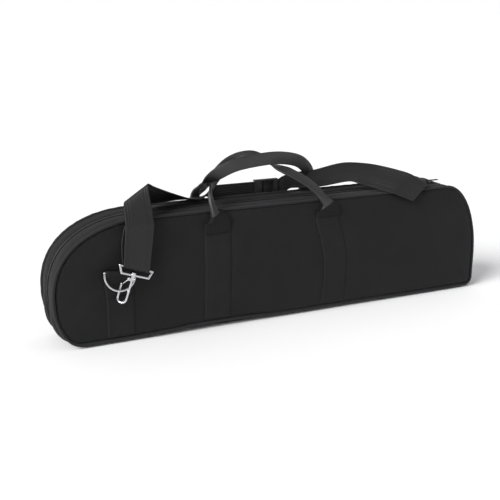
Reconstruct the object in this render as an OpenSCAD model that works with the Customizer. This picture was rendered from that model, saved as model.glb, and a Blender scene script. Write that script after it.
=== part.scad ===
// Padded carry case for a small telescope, with a lid half that zips off the
// case half, two folding webbing handles and a shoulder strap on snap hooks.
// X runs along the case, the lid faces -Y and Z is up. The origin is the middle of the base.

/* [Case] */
// Length of the side panels between their seams
panel_l = 840; // [820:1:860]
// Height of the side panels between their seams
panel_h = 205; // [200:1:215]
// Depth between the two side seams
case_d = 84; // [80:1:92]
// How far the bottom seams stand above the ground
seam_lift = 6; // [5:0.5:8]

/* [Panel corners] */
// Length of the big curve at the narrow end
nose_l = 165; // [140:1:180]
// Height of the big curve at the narrow end
nose_h = 126; // [110:1:130]
// Squareness of the big curve, 2 is an ellipse
nose_power = 2.3; // [2:0.1:2.8]
// Length of the small curve under the nose
chin_l = 45; // [35:1:60]
// Length of the curve at the top of the square end
shoulder_l = 75; // [50:1:90]
// Height of the curve at the top of the square end
shoulder_h = 140; // [100:1:150]
// Radius of the bottom corner at the square end
heel_r = 14; // [12:1:24]

/* [Padding] */
// Thickness of the outer cloth
cloth_t = 1.6; // [1.2:0.1:1.8]
// Thickness of the foam in the side panels
foam_t = 6; // [4:0.5:7]
// Thickness of the foam in the gusset
gusset_foam_t = 4; // [3:0.5:5]
// Thickness of the lining
lining_t = 0.8; // [0.5:0.1:1]
// Radius of the piping cord
piping_r = 2.6; // [2.2:0.1:2.8]

/* [Webbing] */
// Width of the webbing
web_w = 48; // [46:1:49]
// Thickness of the webbing
web_t = 1.6; // [1.2:0.1:1.7]
// Middle of the left handle band
band_left = -137; // [-150:1:-130]
// Middle of the right handle band
band_right = 78; // [72:1:82]
// How far the foot of the right band stands to the right of its top
band_slant = 14; // [8:1:16]

/* [Handles] */
// Width of the folded handle webbing
handle_w = 22; // [20:1:24]
// Thickness of the folded handle webbing
handle_t = 4; // [3:0.5:4.5]
// Height of the handle above its pivot
handle_rise = 82; // [75:1:90]
// How far each handle leans over the case
handle_lean = 32; // [20:1:34]

/* [Hardware] */
// Radius of the D-ring wire
ring_wire_r = 1.9; // [1.6:0.1:2]
// Radius of the D-ring bend, on the wire's middle
ring_bend_r = 26; // [25.5:0.5:27]
// Radius of the snap hook's wire
hook_wire_r = 2; // [1.8:0.1:2.1]
// Distance between the two arms of the snap hook
hook_gap = 16; // [16:0.5:18]
// Radius of the swivel pin
swivel_r = 1.6; // [1.4:0.1:1.7]

/* [Zip] */
// Width of each row of zip coil
coil_w = 1.8; // [1.6:0.1:2]
// Half of the gap between the two rows of coil
coil_gap = 0.8; // [0.7:0.05:0.9]
// Where the slider is parked along the top
zip_x = 332; // [310:1:334]

/* [Hidden] */
$fn = 48;
half_l = panel_l / 2;
half_d = case_d / 2;
z_low = seam_lift;
z_high = seam_lift + panel_h;
chin_h = panel_h - nose_h;
corner_steps = 14;

// Distances from the middle of the case, along Y
panel_out = half_d + 4;
panel_in = panel_out - cloth_t;
foam_in = panel_in - foam_t;
lining_in = foam_in - lining_t;
gusset_out = half_d - 1.4;
gusset_in = 6;
foam_edge = lining_in - 0.4;
foam_start = 8;
piping_y = half_d + 1.5;

// Steps in from the seam outline
panel_inset = 2.4;
foam_inset = 4;
gusset_foam_end = cloth_t + gusset_foam_t;
gusset_end = gusset_foam_end + lining_t;
split_z = z_low + 8;
foam_split_z = split_z + 2;
piping_out = 0.4;

band_y = panel_out + web_t;
band_top = z_high - 7;
pad_top = z_high - 8;
pad_low = z_high - 37;
pad_neck = 24;
pad_y = band_y + 1.8;
pivot_y = pad_y + 0.4 + handle_t / 2 - 0.1;
pivot_z = z_high - 7;
handle_start = 3;
handle_straight = 12;
handle_steps = 28;
handle_power = 2.3;

base_half = 30;
base_low_x = -365;
base_high_x = 398;

ring_x = -311;
ring_y = panel_out + 4.3;
ring_z = 124;
ring_leg = 3;
ring_tilt = 8;
ring_lean = 16;
ring_bore_r = ring_wire_r + 0.3;
loop_wall = 1.7;
anchor_top = 12;
anchor_lap = 13;

hook_x = -292;
hook_y = -62.3;
hook_z = 121.5;
hook_tilt = 19;
hook_twist = -45;
hook_arm = 42;
hook_tip = 18;
eye_low = 24;
eye_high = 29;
eye_h = 12;
eye_shift = 3;
eye_lean = 15;
corner_swell = 0.06;
boss_r = 4;
boss_h = 3;
pin_head_r = 3.2;
pin_head_h = 1.4;
gate_r = 1.1;
gate_top = [-5.5, -8.5];
gate_end = [-12.9, -18];
gate_pin_r = 0.9;
fold_in = hook_wire_r + 0.5;
fold_out = fold_in + web_t;
drop_top = 204;
drop_tilt = 6;
drop_squeeze = 1.5;
drop_full = 60;

run_low_x = -100;
run_high_x = 28;
run_y = 51.5;
run_z = 186;
glide_low_x = -21;
glide_l = 48;
glide_h = 54;
glide_t = 2.6;
glide_end = 2.5;
glide_gap = 0.3;
glide_left = 15;
glide_right = 9;
glide_middle = 6;

tape_top = 0.2;
tape_low = 1.4;
coil_top = -1.5;
stop_l = 4;
slider_l = 13;
slider_half = 4.2;
pull_l = 24;
slider_plate = 1.2;
slider_lift = 1.9;
lug_reach = 1.6;
lug_l = 4;
pull_w = 7;
pull_t = 1.4;
pull_pin_r = 0.8;
pull_rise = 6;
pull_z = z_high + pull_rise;
rivet_r = 0.05;

// ---- Outlines and sweeps ----

// One curved corner of the panel, from its start angle to its end angle
function corner(cx, cz, a, b, power, from, to) = [
    for (i = [0:corner_steps])
        let (u = from + (to - from) * i / corner_steps, c = cos(u), s = sin(u))
        [cx + a * sign(c) * pow(abs(c), 2 / power), cz + b * sign(s) * pow(abs(s), 2 / power)]
];

// The seam outline in X and Z, moved in by a step
function outline(step) = concat(
    corner(half_l - shoulder_l, z_high - shoulder_h, shoulder_l - step, shoulder_h - step, 2, 0, 90),
    corner(nose_l - half_l, z_low + chin_h, nose_l - step, nose_h - step, nose_power, 90, 180),
    corner(chin_l - half_l, z_low + chin_h, chin_l - step, chin_h - step, 2, 180, 270),
    corner(half_l - heel_r, z_low + heel_r, heel_r - step, heel_r - step, 2, 270, 360)
);

// The outline without points that repeat
function thin(points) = [
    for (i = [0:len(points) - 1])
        if (norm(points[i] - points[(i + 1) % len(points)]) > 0.5) points[i]
];

// Puts an X and Z shape between two distances along Y, on the back, or mirrored to the front
module sheet(low, high) {
    translate([0, high, 0]) rotate([90, 0, 0]) linear_extrude(high - low) children();
}

module front() {
    mirror([0, 1, 0]) children();
}

module turned() {
    rotate([0, 0, 180]) children();
}

module shape(step) {
    polygon(thin(outline(step)));
}

// A wall that follows the seam above a height
module band_above(height, outer, inner) {
    intersection() {
        difference() {
            shape(outer);
            shape(inner);
        }
        translate([-half_l - 5, height]) square([panel_l + 10, panel_h + 10]);
    }
}

// A round bar between two points
module rod(from, to, r) {
    run = to - from;
    translate(from)
        rotate([0, acos(run.z / norm(run)), atan2(run.y, run.x)])
            cylinder(h = norm(run), r = r);
}

module wire(points, r) {
    for (i = [0:len(points) - 2]) rod(points[i], points[i + 1], r);
    for (p = points) translate(p) sphere(r);
}

// A wire whose last point joins its first, a hair thicker at the corners
module loop(points, r) {
    n = len(points);
    for (i = [0:n - 1]) rod(points[i], points[(i + 1) % n], r);
    for (p = points) translate(p) sphere(r + corner_swell);
}

// Triangles between rings of the same count, with the two ends closed or joined
function ring_faces(rings, count, closed) = concat(
    [
        for (i = [0:rings - (closed ? 1 : 2)], j = [0:count - 1])
            let (a = i * count + j, b = i * count + (j + 1) % count,
                 c = ((i + 1) % rings) * count + j, d = ((i + 1) % rings) * count + (j + 1) % count)
            each [[a, b, d], [a, d, c]]
    ],
    closed ? [] : [
        [for (j = [count - 1:-1:0]) j],
        [for (j = [0:count - 1]) (rings - 1) * count + j]
    ]
);

function unit(v) = v / norm(v);

// A flat band between two rows of edge points
module ribbon(low, high, thick) {
    n = len(low);
    points = [
        for (i = [0:n - 1])
            let (
                p = (low[max(i - 1, 0)] + high[max(i - 1, 0)]) / 2,
                q = (low[min(i + 1, n - 1)] + high[min(i + 1, n - 1)]) / 2,
                out = unit(cross(high[i] - low[i], q - p)) * thick / 2
            )
            each [low[i] - out, low[i] + out, high[i] + out, high[i] - out]
    ];
    polyhedron(points, ring_faces(n, 4, false));
}

// A smooth row of points through a few chosen ones
function smooth(points, steps) = concat(
    [
        for (i = [0:len(points) - 2], k = [0:steps - 1])
            let (
                a = points[max(i - 1, 0)], b = points[i],
                c = points[i + 1], d = points[min(i + 2, len(points) - 1)], t = k / steps
            )
            0.5 * (2 * b + (c - a) * t + (2 * a - 5 * b + 4 * c - d) * t * t
                + (3 * b - a - 3 * c + d) * t * t * t)
    ],
    [points[len(points) - 1]]
);

// ---- Padded shell ----

module panel() {
    sheet(panel_in, panel_out) shape(panel_inset);
}

module panel_foam() {
    sheet(foam_in, panel_in) shape(foam_inset);
}

module panel_lining() {
    sheet(lining_in, foam_in) shape(foam_inset);
}

module gusset() {
    sheet(gusset_in, gusset_out) band_above(split_z, 0, cloth_t);
}

module gusset_foam() {
    sheet(foam_start, foam_edge) band_above(foam_split_z, cloth_t, gusset_foam_end);
}

module gusset_lining() {
    sheet(foam_start, foam_edge) band_above(foam_split_z, gusset_foam_end, gusset_end);
}

module piping() {
    path = thin(outline(-piping_out));
    n = len(path);
    sides = 8;
    points = [
        for (i = [0:n - 1])
            let (t = unit(path[(i + 1) % n] - path[(i + n - 1) % n]), out = [t.y, -t.x])
            for (j = [0:sides - 1])
                let (a = 360 * j / sides, c = piping_r * cos(a))
                [path[i].x + out.x * c, piping_y + piping_r * sin(a), path[i].y + out.y * c]
    ];
    polyhedron(points, ring_faces(n, sides, true));
}

module bottom_gusset() {
    color([0.09, 0.09, 0.10]) difference() {
        union() {
            sheet(-gusset_out, gusset_out) intersection() {
                difference() {
                    shape(0);
                    shape(cloth_t);
                }
                translate([-half_l - 5, 0]) square([panel_l + 10, split_z]);
            }
            translate([base_low_x, 0, 0]) rotate([90, 0, 90])
                linear_extrude(base_high_x - base_low_x) polygon([
                    [-base_half, 0], [base_half, 0], [gusset_out, z_low + 0.01], [-gusset_out, z_low + 0.01]
                ]);
        }
        translate([base_low_x + 5, 0, 0]) rotate([90, 0, 90])
            linear_extrude(base_high_x - base_low_x - 10) polygon([
                [1 - base_half, cloth_t], [base_half - 1, cloth_t],
                [gusset_out - 3.3, z_low + cloth_t + 0.1], [3.3 - gusset_out, z_low + cloth_t + 0.1]
            ]);
    }
}

module bottom_foam() {
    color([0.16, 0.16, 0.17]) translate([base_low_x + 8, 0, 0]) rotate([90, 0, 90])
        linear_extrude(base_high_x - base_low_x - 16) polygon([
            [1.5 - base_half, 1.8], [base_half - 1.5, 1.8], [foam_edge - 1, z_low + 1.4],
            [foam_edge - 1, z_low + 5], [1 - foam_edge, z_low + 5], [1 - foam_edge, z_low + 1.4]
        ]);
}

module bottom_lining() {
    color([0.20, 0.20, 0.22]) translate([base_low_x + 12, 1 - foam_edge, z_low + 5])
        cube([base_high_x - base_low_x - 24, 2 * foam_edge - 2, lining_t]);
}

// ---- Zip ----

module zip_tape() {
    sheet(coil_gap + 0.4, gusset_in) band_above(split_z, tape_top, tape_low);
}

module zip_coil() {
    sheet(coil_gap, coil_gap + coil_w) band_above(split_z, coil_top, tape_top);
}

module zip_slider() {
    color([0.10, 0.10, 0.11]) translate([zip_x, 0, z_high]) {
        for (z = [slider_lift, -slider_lift - 1.3])
            translate([-slider_l / 2, -slider_half, z]) cube([slider_l, 2 * slider_half, slider_plate]);
        for (side = [-1, 1])
            translate([-slider_l / 2, side * (slider_half - 0.5) - 0.5, 0.3]) cube([slider_l, 1, 1.7]);
        // The wedge that parts the two rows of coil
        translate([-2.5, 0.35 - coil_gap, -2.1]) cube([5, 2 * coil_gap - 0.7, 4.1]);
        for (side = [-1, 1])
            translate([-lug_l / 2, side * lug_reach - slider_plate / 2, slider_lift + 1.1]) difference() {
                cube([lug_l, slider_plate, pull_rise - 1.4]);
                translate([lug_l / 2, -1, 3]) rotate([-90, 0, 0]) cylinder(h = 4, r = pull_pin_r + rivet_r);
            }
    }
}

module zip_pull() {
    neck_l = 5;
    hole_r = 1.7;
    color([0.12, 0.12, 0.13]) translate([zip_x, 0, pull_z]) {
        rotate([-90, 0, 0]) translate([0, 0, -lug_reach - 0.8])
            cylinder(h = 2 * lug_reach + 1.6, r = pull_pin_r);
        rotate([-90, 0, 0]) translate([0, 0, -0.8]) cylinder(h = 1.6, r = 1.5);
        translate([0, -0.8, -pull_t / 2]) cube([neck_l, 1.6, pull_t]);
        translate([neck_l - 0.5, -pull_w / 2, -pull_t / 2]) difference() {
            cube([pull_l - neck_l + 0.5, pull_w, pull_t]);
            translate([pull_l - neck_l - 3.5, pull_w / 2, -1]) cylinder(h = 4, r = hole_r);
        }
    }
}

// Small crimped stops over both ends of the coil
module zip_end_stops() {
    color([0.12, 0.12, 0.13]) sheet(-0.5, coil_gap + coil_w + 0.6) intersection() {
        difference() {
            shape(coil_top - 1.1);
            shape(coil_top);
        }
        translate([-half_l - 5, split_z]) square([panel_l + 10, stop_l]);
    }
}

// ---- Webbing on the panels ----

module bands() {
    for (band = [[band_left, 0], [band_right, band_slant]])
        translate([band.x, 0, 0]) sheet(panel_out, band_y) polygon([
            [-web_w / 2, band_top], [-web_w / 2, pad_low], [band.y - web_w / 2, z_low + 5],
            [band.y + web_w / 2, z_low + 5], [web_w / 2, pad_low], [web_w / 2, band_top]
        ]);
}

module handle_ends() {
    for (x = [band_left, band_right])
        translate([x, 0, 0]) sheet(band_y, pad_y) polygon([
            [-web_w / 2, pad_low], [web_w / 2, pad_low], [web_w / 2, pad_top - 14],
            [pad_neck / 2, pad_top], [-pad_neck / 2, pad_top], [-web_w / 2, pad_top - 14]
        ]);
}

// Webbing sewn down the panel and looped round the D-ring's straight bar
module anchor() {
    loop_r = ring_bore_r + loop_wall;
    difference() {
        union() {
            translate([ring_x - web_w / 2, -panel_out - web_t, z_low + 5])
                cube([web_w, web_t, ring_z - anchor_top - z_low]);
            translate([ring_x, -ring_y, ring_z]) rotate([0, ring_tilt, 0]) {
                rotate([0, 90, 0]) translate([0, 0, -web_w / 2]) cylinder(h = web_w, r = loop_r);
                translate([-web_w / 2, ring_y - panel_out - 2 * web_t, -1 - anchor_lap])
                    cube([web_w, web_t, anchor_lap]);
            }
        }
        translate([ring_x, -ring_y, ring_z]) rotate([0, 90 + ring_tilt, 0])
            translate([0, 0, -web_w]) cylinder(h = 2 * web_w, r = ring_bore_r);
    }
}

// ---- Handles ----

// Height, reach and lean of the handle's middle line, from one foot to the other
function handle_point(i) =
    let (
        u = 180 * i / handle_steps, half = (band_right - band_left) / 2,
        z = handle_rise * pow(sin(u), 2 / handle_power),
        x = -half * sign(cos(u)) * pow(abs(cos(u)), 2 / handle_power)
    )
    [x + (band_left + band_right) / 2, z];

function handle_edge(side) = [
    for (i = [0:handle_steps])
        let (
            p = handle_point(i), a = handle_point(max(i - 1, 0)), b = handle_point(min(i + 1, handle_steps)),
            t = (i == 0) ? [0, 1] : (i == handle_steps) ? [0, -1] : unit(b - a),
            q = p + side * handle_w / 2 * [-t.y, t.x],
            rise = max(q.y - handle_straight, 0) / (handle_rise - handle_straight)
        )
        [q.x, pivot_y - handle_lean * rise, pivot_z + handle_start + q.y]
];

module handle() {
    ribbon(handle_edge(-1), handle_edge(1), handle_t);
}

// ---- D-rings and snap hooks, drawn on the front ----

module d_ring() {
    top = ring_leg + ring_bend_r;
    color([0.78, 0.78, 0.80])
    translate([ring_x, -ring_y, ring_z]) rotate([0, ring_tilt, 0]) rotate([-ring_lean, 0, 0]) {
        wire([
            [-ring_bend_r, 0, -ring_leg], [-ring_bend_r, 0, 0], [ring_bend_r, 0, 0], [ring_bend_r, 0, -ring_leg]
        ], ring_wire_r);
        translate([0, 0, -ring_leg]) rotate([-90, 0, 0]) rotate_extrude(angle = 180)
            translate([ring_bend_r, 0]) circle(ring_wire_r);
    }
}

// Moves to the swivel, with Z along the hook's shank
module at_hook() {
    translate([hook_x, hook_y, hook_z]) rotate([0, hook_tilt, 0]) children();
}

eye_top = [eye_shift, eye_h * sin(eye_lean), eye_h * cos(eye_lean)];

function turn_y(v, a) = [v.x * cos(a) + v.z * sin(a), v.y, v.z * cos(a) - v.x * sin(a)];

module swivel_eye() {
    color([0.80, 0.80, 0.82]) at_hook() difference() {
        union() {
            loop([
                [eye_shift - eye_low, 0, 0], [eye_shift + eye_low, 0, 0],
                [eye_shift + eye_high, eye_top.y, eye_top.z], [eye_shift - eye_high, eye_top.y, eye_top.z]
            ], hook_wire_r);
            translate([0, 0, -boss_h]) cylinder(h = 2 * boss_h, r = boss_r);
        }
        translate([0, 0, -10]) cylinder(h = 20, r = swivel_r + 0.1);
    }
}

module in_hook() {
    at_hook() rotate([0, 0, hook_twist]) children();
}

module snap_hook() {
    color([0.80, 0.80, 0.82]) in_hook() difference() {
        union() {
            translate([0, 0, -boss_h - 1]) cylinder(h = 2 * boss_h + 1.3, r = swivel_r);
            translate([0, 0, boss_h + 0.2]) cylinder(h = pin_head_h, r = pin_head_r);
            translate([0, 0, -boss_h - 2.4]) cylinder(h = 2.2, r = 3.4);
            translate([0, 0, -hook_arm]) cylinder(h = hook_arm - boss_h - 1, r = hook_wire_r);
            translate([-hook_gap / 2, 0, -hook_arm]) rotate([-90, 0, 0]) rotate_extrude(angle = 180)
                translate([hook_gap / 2, 0]) circle(hook_wire_r);
            translate([-hook_gap, 0, -hook_arm]) cylinder(h = hook_arm - hook_tip - 1.5, r = hook_wire_r);
            translate([-hook_gap, 0, -hook_tip - 1.5]) sphere(hook_wire_r);
            for (side = [-1, 1]) translate([-7, side * 2 - 0.6, -10.3]) cube([6, 1.2, 4.4]);
        }
        translate([gate_top.x, -5, gate_top.y]) rotate([-90, 0, 0]) cylinder(h = 10, r = gate_pin_r + 0.05);
    }
}

// The sprung lever that closes the hook
module hook_gate() {
    from = [gate_top.x, 0, gate_top.y];
    color([0.70, 0.70, 0.73]) in_hook() difference() {
        union() {
            translate(from + [0, -1.2, 0]) rotate([-90, 0, 0]) cylinder(h = 2.4, r = 1.6);
            rod(from, [gate_end.x, 0, gate_end.y], gate_r);
            translate([gate_end.x, 0, gate_end.y]) sphere(gate_r);
        }
        translate(from + [0, -5, 0]) rotate([-90, 0, 0]) cylinder(h = 10, r = gate_pin_r + 0.05);
    }
}

module gate_pin() {
    color([0.60, 0.60, 0.62]) in_hook() translate([gate_top.x, -3.2, gate_top.y])
        rotate([-90, 0, 0]) cylinder(h = 6.4, r = gate_pin_r);
}

// ---- Shoulder strap ----

// Two layers of webbing that hang from the case's edge and turn round the swivel eye
module strap_drop() {
    fold = [hook_x, hook_y, hook_z] + turn_y(eye_top, hook_tilt);
    color([0.13, 0.13, 0.14]) intersection() {
        translate(fold) difference() {
            union() {
                rotate([0, 90 + hook_tilt, 0]) translate([0, 0, -web_w]) cylinder(h = 2 * web_w, r = fold_out);
                for (y = [-fold_out, fold_in])
                    rotate([0, hook_tilt, 0]) translate([-2 * web_w, y, 0]) cube([4 * web_w, web_t, 4 * web_w]);
            }
            rotate([0, 90 + hook_tilt, 0]) translate([0, 0, -web_w]) cylinder(h = 2 * web_w, r = fold_in);
        }
        // The webbing is drawn in a little where it turns round the eye
        translate(fold) rotate([0, drop_tilt, 0]) sheet(-10, 10) polygon([
            [drop_squeeze - web_w / 2, -web_w], [web_w / 2 - drop_squeeze, -web_w],
            [web_w / 2 - drop_squeeze, 0], [web_w / 2, drop_full], [web_w / 2, 3 * web_w],
            [-web_w / 2, 3 * web_w], [-web_w / 2, drop_full], [drop_squeeze - web_w / 2, 0]
        ]);
        translate([-half_l, fold.y - 20, 0]) cube([panel_l, 40, drop_top]);
    }
}

// Edge points from the front edge, through the corner fold, to the back edge of the top
rise_low = [
    [-302, -62.5, 205], [-301, -56, 222], [-299, -46, 238], [-291, -36, 239], [-272, -18, 232], [-245, 8, 222],
    [-205, 30, 217.5], [-165, 42, 216.5], [-135, 43.5, 217], [-122, 45, 217], [-111, 49.5, 210], [-100, 52.3, 186]
];
rise_high = [
    [-254, -62.5, 205], [-255, -56, 228], [-257, -47, 262], [-253, -38, 266], [-240, -24, 258], [-214, -8, 245],
    [-182, 2, 231], [-160, 4, 223], [-140, 8, 222], [-122, 22, 231], [-111, 42, 236], [-100, 52.3, 234]
];
arch_low = [
    [28, 52.3, 186], [38, 50, 200], [48, 42, 217], [70, 24, 220], [98, 5, 224], [146, -5, 231], [164, -14, 227.5],
    [186, -28, 221], [210, -52, 213.5], [232, -58, 204.5], [256, -61, 195]
];
arch_high = [
    [28, 52.3, 234], [36, 47, 241], [46, 36, 247], [64, 24, 252], [86, 18, 254], [150, 26, 261], [196, 21, 258],
    [230, 6, 252], [262, -30, 243], [280, -42, 232], [294, -50, 221]
];
turn_low = [
    [257, -57.5, 196], [257, -51, 207], [257, -47.8, 217], [257, -38, 221], [257, -15, 222], [257, 10, 222],
    [257, 40, 219], [256, 55, 214], [255, 62.5, 205]
];
turn_high = [
    [296, -46.5, 221], [297, -42, 224], [299, -34, 226], [302, -22, 227], [305, -5, 227], [306, 10, 226],
    [305, 40, 219], [304, 55, 214], [303, 62.5, 205]
];

module strap_rise() {
    color([0.13, 0.13, 0.14]) ribbon(smooth(rise_low, 3), smooth(rise_high, 3), web_t);
}

module strap_run() {
    color([0.13, 0.13, 0.14]) translate([run_low_x, run_y, run_z])
        cube([run_high_x - run_low_x, web_t, web_w]);
}

module strap_arch() {
    color([0.13, 0.13, 0.14]) ribbon(smooth(arch_low, 3), smooth(arch_high, 3), web_t);
}

module strap_turn() {
    color([0.13, 0.13, 0.14]) ribbon(smooth(turn_low, 3), smooth(turn_high, 3), web_t);
}

// Three-bar slider: the strap passes behind its two side bars and over the middle one
module strap_slider() {
    face = web_t / 2 + glide_gap;
    gap = glide_l - glide_left - glide_right;
    color([0.06, 0.06, 0.07]) translate([glide_low_x, run_y + web_t / 2, run_z + web_w / 2]) {
        translate([0, -face - glide_t, -glide_h / 2]) cube([glide_left, glide_t, glide_h]);
        translate([glide_l - glide_right, -face - glide_t, -glide_h / 2]) cube([glide_right, glide_t, glide_h]);
        translate([glide_left + (gap - glide_middle) / 2, face, -glide_h / 2])
            cube([glide_middle, glide_t, glide_h]);
        for (z = [-glide_h / 2, glide_h / 2 - glide_end])
            translate([0, -face - glide_t, z]) cube([glide_l, 2 * (glide_t + face), glide_end]);
    }
}

// ---- Nodes ----

cloth = [0.10, 0.10, 0.11];
foam = [0.20, 0.20, 0.22];
lining = [0.16, 0.16, 0.18];
web = [0.13, 0.13, 0.14];
zip_black = [0.07, 0.07, 0.08];

color(cloth) panel();  // back_panel
color(foam) panel_foam();  // back_foam
color(lining) panel_lining();  // back_lining
color(cloth) gusset();  // back_gusset
color(foam) gusset_foam();  // back_gusset_foam
color(lining) gusset_lining();  // back_gusset_lining
color(cloth) piping();  // back_piping
color(zip_black) zip_tape();  // back_zip_tape
color(zip_black) zip_coil();  // back_zip_coil
color(web) bands();  // back_bands
color(web) handle_ends();  // back_handle_ends
color(web) turned() anchor();  // back_anchor
bottom_gusset();
bottom_foam();
bottom_lining();
color(cloth) front() panel();  // front_panel
color(foam) front() panel_foam();  // front_foam
color(lining) front() panel_lining();  // front_lining
color(cloth) front() gusset();  // front_gusset
color(foam) front() gusset_foam();  // front_gusset_foam
color(lining) front() gusset_lining();  // front_gusset_lining
color(cloth) front() piping();  // front_piping
color(zip_black) front() zip_tape();  // front_zip_tape
color(zip_black) front() zip_coil();  // front_zip_coil
color(web) front() bands();  // front_bands
color(web) front() handle_ends();  // front_handle_ends
color(web) anchor();  // front_anchor
color(web) front() handle();  // front_handle
color(web) handle();  // back_handle
strap_drop();  // front_strap_drop
turned() strap_drop();  // back_strap_drop
strap_rise();
strap_run();
strap_arch();
strap_turn();
strap_slider();
d_ring();  // front_d_ring
turned() d_ring();  // back_d_ring
swivel_eye();  // front_swivel_eye
turned() swivel_eye();  // back_swivel_eye
snap_hook();  // front_snap_hook
turned() snap_hook();  // back_snap_hook
hook_gate();  // front_hook_gate
turned() hook_gate();  // back_hook_gate
gate_pin();  // front_gate_pin
turned() gate_pin();  // back_gate_pin
zip_slider();
zip_pull();
zip_end_stops();
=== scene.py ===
import math

import bmesh
import bpy
import numpy as np
from mathutils import Matrix, Vector
from mathutils.bvhtree import BVHTree


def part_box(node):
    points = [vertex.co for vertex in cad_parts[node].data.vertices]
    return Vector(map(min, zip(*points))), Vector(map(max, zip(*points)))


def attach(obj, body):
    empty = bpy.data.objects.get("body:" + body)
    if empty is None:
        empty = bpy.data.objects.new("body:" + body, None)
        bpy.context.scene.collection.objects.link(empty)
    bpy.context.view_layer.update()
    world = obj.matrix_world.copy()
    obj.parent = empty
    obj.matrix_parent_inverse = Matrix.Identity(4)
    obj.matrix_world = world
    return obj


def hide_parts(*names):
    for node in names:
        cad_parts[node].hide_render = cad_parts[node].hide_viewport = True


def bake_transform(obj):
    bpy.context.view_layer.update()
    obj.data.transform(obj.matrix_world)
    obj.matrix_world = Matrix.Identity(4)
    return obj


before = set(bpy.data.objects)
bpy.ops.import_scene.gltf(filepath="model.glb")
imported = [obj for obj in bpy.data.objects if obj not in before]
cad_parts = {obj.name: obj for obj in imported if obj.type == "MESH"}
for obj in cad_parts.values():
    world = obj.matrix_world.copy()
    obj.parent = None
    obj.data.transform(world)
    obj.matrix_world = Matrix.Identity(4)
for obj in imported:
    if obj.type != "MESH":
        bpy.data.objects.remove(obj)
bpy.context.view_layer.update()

MM = 0.001

# ---- Sizes in millimetres, as the frame has them ----

PIPING_R = 2.6
PIPING_OUT = 0.4
PIPING_Y = PIPING_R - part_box("front_piping")[1][1] / MM
HALF_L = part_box("front_gusset")[1][0] / MM
Z_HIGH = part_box("front_gusset")[1][2] / MM
Z_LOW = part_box("front_piping")[0][2] / MM + PIPING_R + PIPING_OUT
SPLIT_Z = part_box("front_gusset")[0][2] / MM
PANEL_OUT = -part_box("front_panel")[0][1] / MM
FOAM_IN = -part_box("front_foam")[1][1] / MM
GUSSET_OUT = -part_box("front_gusset")[0][1] / MM
GUSSET_IN = -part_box("front_gusset")[1][1] / MM
BASE_LOW_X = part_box("bottom_foam")[0][0] / MM - 8
BASE_HIGH_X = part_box("bottom_foam")[1][0] / MM + 8

# Length and height of each curved corner of the panel
SHOULDER = (75, 140)
NOSE = (165, 126)
NOSE_POWER = 2.3
CHIN = (45, 79)
HEEL = (14, 14)

WEB_W = 48
WEB_T = 1.6
# X of each sewn band, and how far its foot stands to the right of its head
BANDS = (-137, 78)
BAND_SLANT = (0, 14)
BAND_HEAD = 174
BAND_LENGTH = 163
# The front D-ring's bar, the lower end of its anchor's fold, the middle of the hook, and the swivel eye's
# bar. Tilts are in degrees.
RING = (-311, -50.3, 124)
RING_TILT = 8
ANCHOR_FOOT = 84
HOOK = (-300, 92)
EYE = (-285.39, -59.19, 131.48)
EYE_TILT = 19
DROP_TILT = 6
DROP_TOP = 203
# The strap's fold round the eye, and how far each of its edges is squeezed in there
LAYER_R = 3.3
SQUEEZE = 1.5
EYE_REACH = (WEB_W / 2 - SQUEEZE) / math.cos(math.radians(EYE_TILT - DROP_TILT))
# The strap's flat run behind the zip: its plane, its two edges and its ends
RUN_Y = 52.3
RUN_Z = (186.0, 234.0)
RUN_X = (-92, 22)


# ---- Camera ----

def make_camera():
    """The photograph's viewpoint: lens in millimetres, place in metres."""
    data = bpy.data.cameras.new("camera")
    data.lens = 61.0
    data.sensor_width = 36
    camera = bpy.data.objects.new("camera", data)
    bpy.context.collection.objects.link(camera)
    azimuth, pitch, roll = math.radians(25.13), math.radians(15.91), math.radians(0.19)
    forward = Vector((
        math.sin(azimuth) * math.cos(pitch), math.cos(azimuth) * math.cos(pitch), -math.sin(pitch)))
    turn = forward.to_track_quat("-Z", "Y").to_matrix() @ Matrix.Rotation(roll, 3, "Z")
    camera.rotation_euler = turn.to_euler()
    camera.location = (-0.6795, -1.3364, 0.5409)
    bpy.context.scene.camera = camera


# ---- Smooth steps and bumps ----

def bell(x, width):
    """A smooth bump, 1 where x is 0."""
    return np.exp(-(x / width) ** 2)


def ease(x, low, high):
    """A smooth step from 0 at low to 1 at high."""
    t = np.clip((x - low) / (high - low), 0, 1)
    return t * t * (3 - 2 * t)


# ---- Outlines ----

def corner(centre, size, power, start, end, steps=60):
    """One curved corner of the panel's outline, in X and Z."""
    u = np.radians(np.linspace(start, end, steps + 1))
    c, s = np.cos(u), np.sin(u)
    x = centre[0] + size[0] * np.sign(c) * np.abs(c) ** (2 / power)
    z = centre[1] + size[1] * np.sign(s) * np.abs(s) ** (2 / power)
    return np.stack([x, z], 1)


def unit(vectors):
    return vectors / np.linalg.norm(vectors, axis=-1, keepdims=True)


def arc(points):
    """Distance along a row of points from its first one to each."""
    return np.concatenate([[0], np.cumsum(np.linalg.norm(np.diff(points, axis=0), axis=1))])


def read_off(rows, along, at):
    """Rows of numbers at other distances along them."""
    return np.stack([np.interp(at, along, column) for column in rows.T], 1)


def resample(points, spacing, closed=True):
    """Points at even distances along a row of points, with their arc lengths."""
    row = np.vstack([points, points[:1]]) if closed else np.asarray(points, float)
    row = row[np.concatenate([[True], np.diff(arc(row)) > 1e-6])]
    along = arc(row)
    count = max(2, int(round(along[-1] / spacing)))
    at = np.linspace(0, along[-1], count + 1)
    if closed:
        at = at[:-1]
    return read_off(row, along, at), at


def bottom_rise(x):
    """How far the load's slack lifts the bottom seams off the straight line between the ends."""
    return 6.0 * bell(x + 125, 105) + 2.2 * bell(x - 120, 110)


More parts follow.
